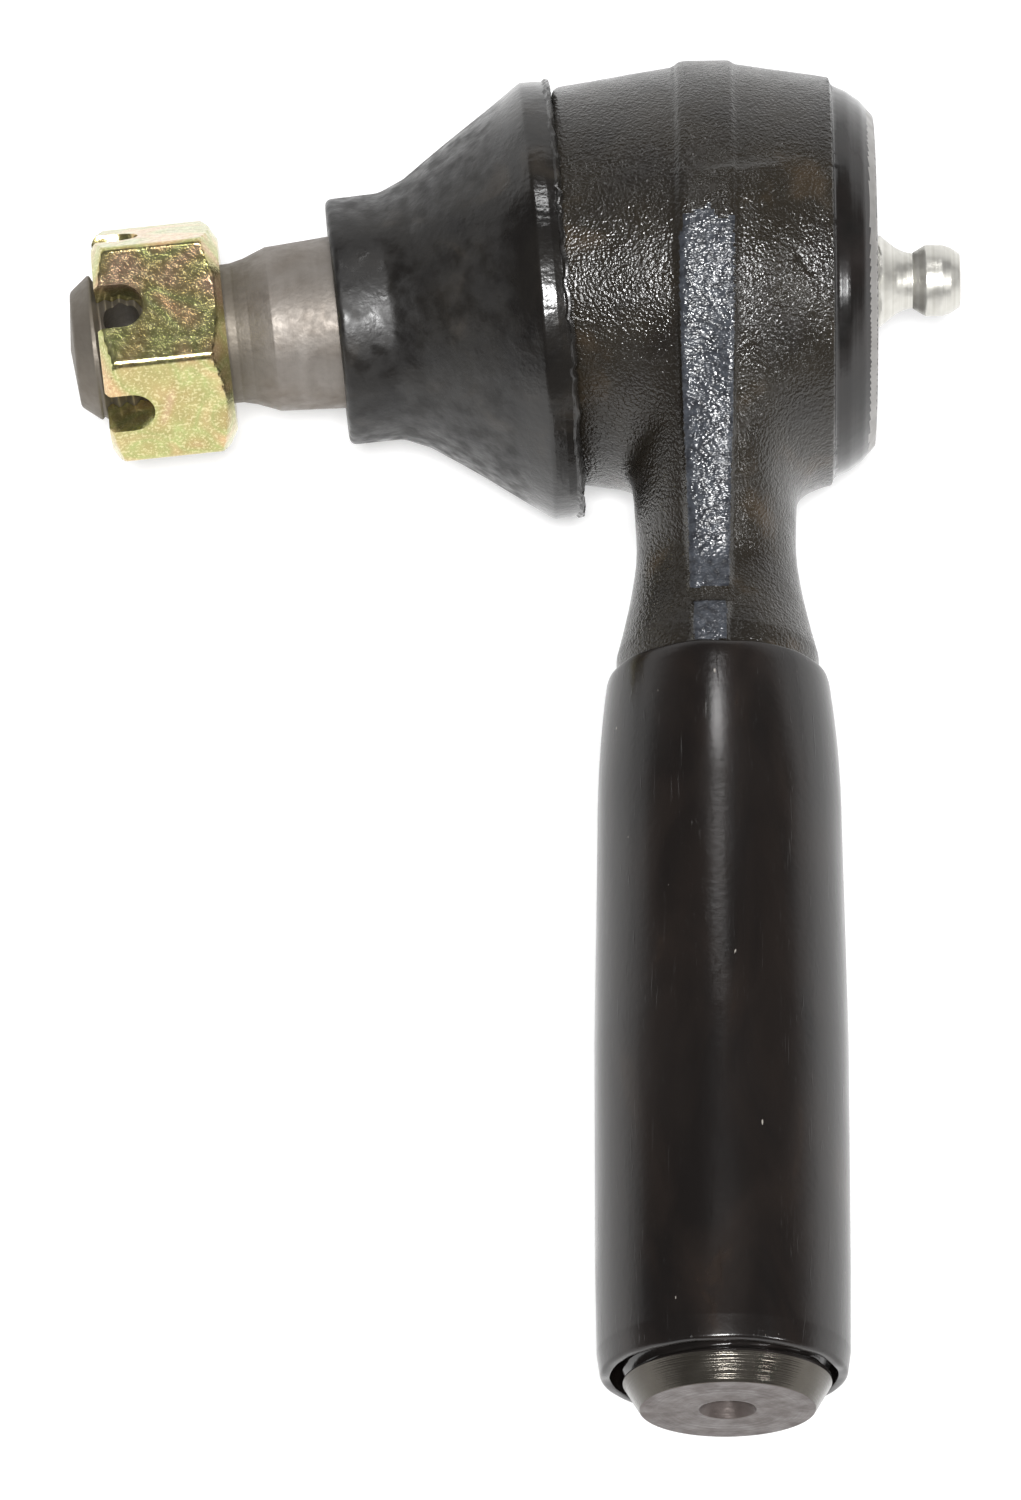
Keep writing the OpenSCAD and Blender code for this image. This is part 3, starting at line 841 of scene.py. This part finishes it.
BOOT_SMALL_R, BOOT_BORE_R, BOOT_GRIP_R = 10.9, 9.0, 7.8
# The space in the flange that the steel ring fills: its radii, and its two ends
POCKET_IN_R, POCKET_OUT_R, POCKET_START, POCKET_END = 17.55, 18.65, 14.15, 15.25


def boot():
    """The rubber boot: a flanged mouth, a flaring cone and a neck that grips the slip bush."""
    corner = MOUTH + 2.5
    outline = rounded([
        (FLANGE_R - 0.5, MOUTH - 0.05, 0.2), (FLANGE_R + 0.12, MOUTH + 0.1, 0),
        (FLANGE_R + 0.12, MOUTH + 0.28, 0), (FLANGE_R - 0.12, MOUTH + 0.5, 0.1),
        (FLANGE_R - 0.02, MOUTH + 1.2, 0.6), (FLANGE_R, corner, 0.8), (15.2, 21.4, 9), (11.9, 26.2, 3.2),
        (BOOT_SMALL_R, 28.6, 2.5), (BOOT_SMALL_R, BOOT_END, 0.7), (BOOT_GRIP_R, BOOT_END, 0.25),
        (BOOT_GRIP_R, 31.95, 0.1), (BOOT_BORE_R, 31.9, 0.1), (BOOT_BORE_R, 27.7, 1.5),
        (13.6, 21.6, 6), (16.5, corner + 0.9, 0.8), (16.8, 14.25, 0.5), (17.8, MOUTH, 0.2)
    ], step=0.42)
    points, faces = turned(outline, around=360)
    x, y, h = points.T
    r, angle = np.hypot(x, y), np.arctan2(y, x)
    rim = np.stack([np.cos(angle) * 19, np.sin(angle) * 19, 0 * h], -1)
    fin = np.exp(-((h - MOUTH - 0.2) / 0.12) ** 2) * (r > FLANGE_R - 0.1)
    torn = (0.26 * grain(rim, 0.55, 5) + 0.10 * grain(rim, 2.5, 6)) * (h < MOUTH + 0.5)
    lean = -y * math.tan(MOUTH_LEAN) * (1 - smoothstep(16.5, 24, h))
    sway = 0.10 * grain(points, 9, 7) + 0.03 * grain(points, 2.2, 12) + fin * 0.09 * grain(rim, 0.8, 13)
    scale = 1 + sway / np.maximum(r, 1)
    points = np.stack([x * scale, y * scale, h + torn + lean], -1)
    pocket, walls = turned(rounded([
        (POCKET_OUT_R, POCKET_START, 0), (POCKET_OUT_R, POCKET_END, 0),
        (POCKET_IN_R, POCKET_END, 0), (POCKET_IN_R, POCKET_START, 0)
    ], step=2), around=360)
    faces = np.concatenate([faces, walls[:, ::-1] + len(points)])
    px, py, ph = pocket.T
    pocket = np.stack([px, py, ph - py * math.tan(MOUTH_LEAN)], -1)
    obj = make_mesh("boot_rubber", np.concatenate([points, pocket]) @ STUD.T, faces, [boot_rubber()])
    stand_for(obj, "boot", ride=False)
    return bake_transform(obj)


# The loose lower end of the guard hangs a little to the stud's side.
GUARD_DRIFT = 0.28
GUARD_GRIP_R, GUARD_BORE_R, NOSE_END = 8.77, 9.5, 52


def thread_guard():
    """A sleeve with a rounded nose that grips the shank, and a ragged lower rim."""
    heights = np.linspace(GUARD_TOP + 0.6, NOSE_END, 18)
    nose = [(10.5 - 0.0052 * (NOSE_END - h) ** 2, h, 0) for h in heights]
    outline = rounded([
        (GUARD_GRIP_R, GUARD_TOP, 0.15), (9.45, GUARD_TOP, 0.3), *nose,
        (GUARD_R, 72, 40), (10.72, 92, 12), (10.6, 99.4, 1.5), (10.3, GUARD_END, 0.5),
        (GUARD_BORE_R, GUARD_END, 0.2), (GUARD_BORE_R, 44.0, 0.3), (GUARD_GRIP_R, 42.2, 0.3)
    ], step=0.9)
    points, faces = turned(outline, around=144)
    x, y, h = points.T
    r, angle = np.hypot(x, y), np.arctan2(y, x)
    edge = np.stack([np.cos(angle) * 10, np.sin(angle) * 10, 0 * h], -1)
    ragged = 0.16 * grain(edge, 2.2, 8) * smoothstep(GUARD_END - 0.5, GUARD_END, h)
    ragged += 0.10 * grain(edge, 3.0, 9) * (1 - smoothstep(GUARD_TOP, GUARD_TOP + 0.4, h))
    squeeze = 0.06 * grain(points * (1, 1, 0.25), 7, 10) * smoothstep(GUARD_TOP, 46, h) * (r > 9.6)
    scale = 1 + squeeze / r
    drift = GUARD_DRIFT * smoothstep(GUARD_TOP + 4, GUARD_END, h)
    points = np.stack([x * scale - drift, y * scale, h + ragged], -1)
    obj = make_mesh("guard_sleeve", points @ SHANK.T, faces, [guard_vinyl()])
    return stand_for(obj, "thread_guard")


# ---------------------------------------------------------------- nipple and end plate

HEX_START, HEX_END = 12.45, 15.0
NIPPLE_SCREW_R, NIPPLE_HEAD_R = 3.15, 3.14
NIPPLE_FEED_R, NIPPLE_BORE_R, NIPPLE_MOUTH_R = 0.6, 1.1, 0.7
NIPPLE_HOLE_R = 3.2


def grease_nipple():
    """The nipple's screw, hexagon, waist and head, with the bore that holds its spring and ball."""
    outline = rounded([
        (NIPPLE_FEED_R, NIPPLE_BASE, 0), (NIPPLE_SCREW_R, NIPPLE_BASE, 0.2), (NIPPLE_SCREW_R, HEX_START, 0),
        (HEX_CORNER - 0.5, HEX_START, 0), (HEX_CORNER + 0.05, 12.85, 0),
        (HEX_CORNER + 0.05, HEX_END - 0.75, 0), (HEX_CORNER - 0.75, HEX_END, 0.2),
        (2.95, 16.1, 1.0), (2.55, 16.9, 1.2), (2.42, 17.6, 0.1),
        (2.55, 17.75, 0.1), (NIPPLE_HEAD_R, 18.75, 0.35), (NIPPLE_HEAD_R, 20.2, 0.6), (2.9, 20.95, 0.12),
        (2.35, NIPPLE_TIP, 0.3), (0.95, NIPPLE_TIP, 0.1), (NIPPLE_MOUTH_R, NIPPLE_TIP - 0.4, 0),
        (NIPPLE_MOUTH_R, 21.0, 0), (NIPPLE_BORE_R, 20.35, 0), (NIPPLE_BORE_R, 14.0, 0),
        (NIPPLE_FEED_R, 14.0, 0)
    ], step=0.25)
    points, faces = turned(outline, around=144)
    points = to_hexagon(points, HEX_CORNER * math.sqrt(3), 0.15)
    obj = make_mesh("nipple_body", points @ SOCKET.T, faces, [bright_zinc()])
    return stand_for(obj, "grease_nipple", sharp=32)


def end_plate():
    """The cover plate that the lip holds, with a pressed groove round the nipple."""
    outline = rounded([
        (NIPPLE_HOLE_R, PLATE_IN, 0.1), (PLATE_R, PLATE_IN, 0.2), (PLATE_R, PLATE_OUT, 0.3),
        (11.6, PLATE_OUT, 0.4), (10.9, 11.7, 0.4), (9.0, 11.7, 0.5), (7.8, PLATE_OUT, 0.6),
        (NIPPLE_HOLE_R, PLATE_OUT, 0.2)
    ], step=0.5)
    points, faces = turned(outline, around=144)
    look = hidden_steel("plate_steel", (0.13, 0.12, 0.115), 0.45)
    obj = make_mesh("end_plate_cover", points @ SOCKET.T, faces, [look])
    return stand_for(obj, "end_plate")


def squeezed(obj, node):
    """Shades a spring in the socket, puts it on its node's body in place of the CAD node, and gives it a mesh of
    its own.
    """
    stand_for(obj, node)
    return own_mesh(obj)


def disc_spring(look):
    """The dished washer that presses the lower bearing up."""
    low, high, outer = reach("preload_spring", SOCKET[:, 2])
    outline = rounded([
        (DISC_IN_R, low, 0.1), (outer, high - DISC_T, 0.1), (outer, high, 0.1), (DISC_IN_R, low + DISC_T, 0.1)
    ], step=0.6)
    obj = make_mesh("disc_spring", *turn_to_socket(turned(outline, around=128)), [look])
    return squeezed(obj, "preload_spring")


def coil_spring(look):
    """The wire coil that holds the nipple's ball shut, with its wire pointed at both ends."""
    low, high, outer = reach("nipple_spring", SOCKET[:, 2])
    steps, sides = 24 * COIL_TURNS, 10
    t = np.linspace(0, 1, steps + 1)[:, None]
    round_wire = np.arange(sides) * 2 * math.pi / sides
    thick = COIL_WIRE_R * np.where((t == 0) | (t == 1), 0, 1)
    turn = 2 * math.pi * COIL_TURNS * t
    r = outer - COIL_WIRE_R + thick * np.cos(round_wire)
    h = low + COIL_WIRE_R + (high - low - 2 * COIL_WIRE_R) * t + thick * np.sin(round_wire)
    points = np.stack([r * np.cos(turn), r * np.sin(turn), h], -1).reshape(-1, 3)
    i, j = np.arange(steps)[:, None], np.arange(sides)[None, :]
    k = (j + 1) % sides
    faces = np.stack([i * sides + j, (i + 1) * sides + j, (i + 1) * sides + k, i * sides + k], -1)
    faces = faces.reshape(-1, 4)
    obj = make_mesh("coil_spring", *turn_to_socket((points, faces)), [look])
    return squeezed(obj, "nipple_spring")


def turn_to_socket(shape):
    points, faces = shape
    return points @ SOCKET.T, faces


def finish_hidden_nodes(spring):
    """Gives the CAD nodes that stay, inside the joint, their own materials."""
    race = hidden_steel("bearing_steel", (0.55, 0.55, 0.56), 0.25)
    looks = {
        "upper_bearing": race, "half_ball": race, "lower_bearing": race, "nipple_ball": race,
        "boot_ring": spring, "boot_bush": nylon(),
    }
    for node, look in looks.items():
        for slot in frame["nodes"][node].material_slots:
            slot.material = look


# ---------------------------------------------------------------- stage, light and camera

# Metres: how far the floor lies below the housing, and from its middle to its edge
FLOOR_GAP, FLOOR_REACH = 0.0004, 6.0
LIGHT_AIM = Vector((-0.01, -0.045, 0))
# Name, direction from the aim, distance and size in metres, and power in watts
SOFT_BOXES = (
    ("near_box", (0.0, -0.36, 0.93), 1.4, (0.24, 0.17), 24),
    ("far_box", (0.0, 0.495, 0.87), 0.65, (0.09, 0.06), 0.40),
    ("side_box", (0.70, -0.33, 0.63), 1.0, (0.10, 0.10), 2.4),
)


def make_floor():
    """A plain level floor just under the barrel."""
    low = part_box("housing")[0].z
    mesh = bpy.data.meshes.new("floor")
    corners = [(x * FLOOR_REACH, y * FLOOR_REACH, 0) for x, y in ((-1, -1), (1, -1), (1, 1), (-1, 1))]
    mesh.from_pydata(corners, [], [(0, 1, 2, 3)])
    look = Look("floor", (0.6, 0.6, 0.6), 0.9, specular=0.0)
    look.set("Emission Color", (1, 1, 1, 1))
    look.set("Emission Strength", 0.5)
    look.paint(look.mix(look.noise(60, 2), (0.60, 0.60, 0.60), (0.62, 0.62, 0.62)))
    mesh.materials.append(look.material)
    floor = bpy.data.objects.new("floor", mesh)
    bpy.context.scene.collection.objects.link(floor)
    floor.location = (0, 0, low - FLOOR_GAP)


def add_light(name, direction, distance, size, power):
    """A soft box that faces the object from a direction."""
    data = bpy.data.lights.new(name, "AREA")
    data.shape, data.size, data.size_y, data.energy = "RECTANGLE", size[0], size[1], power
    light = bpy.data.objects.new(name, data)
    bpy.context.scene.collection.objects.link(light)
    away = Vector(direction).normalized()
    light.location = LIGHT_AIM + away * distance
    light.rotation_mode = "QUATERNION"
    light.rotation_quaternion = away.to_track_quat("Z", "Y")


def make_light():
    """A big pale sweep low down all round, higher on the far side, and the soft boxes."""
    world = bpy.data.worlds.new("studio")
    bpy.context.scene.world = world
    world.use_nodes = True
    nodes, links = world.node_tree.nodes, world.node_tree.links
    split = nodes.new("ShaderNodeSeparateXYZ")
    links.new(nodes.new("ShaderNodeTexCoord").outputs["Generated"], split.inputs[0])
    sweep = nodes.new("ShaderNodeMapRange")
    links.new(split.outputs["Y"], sweep.inputs["Value"])
    set_range(sweep, 0.25, 1.0, 0.0, 0.6)
    height = nodes.new("ShaderNodeMath")
    height.operation = "SUBTRACT"
    links.new(split.outputs["Z"], height.inputs[0])
    links.new(sweep.outputs["Result"], height.inputs[1])
    ramp = nodes.new("ShaderNodeMapRange")
    ramp.interpolation_type = "SMOOTHERSTEP"
    links.new(height.outputs[0], ramp.inputs["Value"])
    set_range(ramp, -0.1, 0.3, 1.1, 0.07)
    links.new(ramp.outputs["Result"], nodes["Background"].inputs["Strength"])
    nodes["Background"].inputs["Color"].default_value = (1, 1, 1, 1)
    for box in SOFT_BOXES:
        add_light(*box)


CAMERA_TILT, CAMERA_YAW, CAMERA_ROLL = 22.84, 0.951, -0.55
CAMERA_DISTANCE, CAMERA_LENS, SENSOR_WIDTH = 0.6905, 192.4, 36
CAMERA_AIM = Vector((-0.01794, -0.04455, 0))


def make_camera():
    """The photograph's viewing angle."""
    data = bpy.data.cameras.new("camera")
    data.lens, data.sensor_width = CAMERA_LENS, SENSOR_WIDTH
    camera = bpy.data.objects.new("camera", data)
    bpy.context.scene.collection.objects.link(camera)
    turn = (
        Matrix.Rotation(math.radians(CAMERA_TILT), 4, "X")
        @ Matrix.Rotation(math.radians(CAMERA_YAW), 4, "Y")
        @ Matrix.Rotation(math.radians(CAMERA_ROLL), 4, "Z")
    )
    camera.matrix_world = Matrix.Translation(CAMERA_AIM) @ turn @ Matrix.Translation((0, 0, CAMERA_DISTANCE))
    bpy.context.scene.camera = camera
    bpy.context.scene.view_settings.view_transform = "Standard"


make_camera()
make_light()
make_floor()
housing()
ball_stud()
slotted_nut()
boot()
thread_guard()
grease_nipple()
end_plate()
SPRING_LOOK = hidden_steel("spring_steel", (0.3, 0.3, 0.32), 0.35)
disc_spring(SPRING_LOOK)
coil_spring(SPRING_LOOK)
finish_hidden_nodes(SPRING_LOOK)
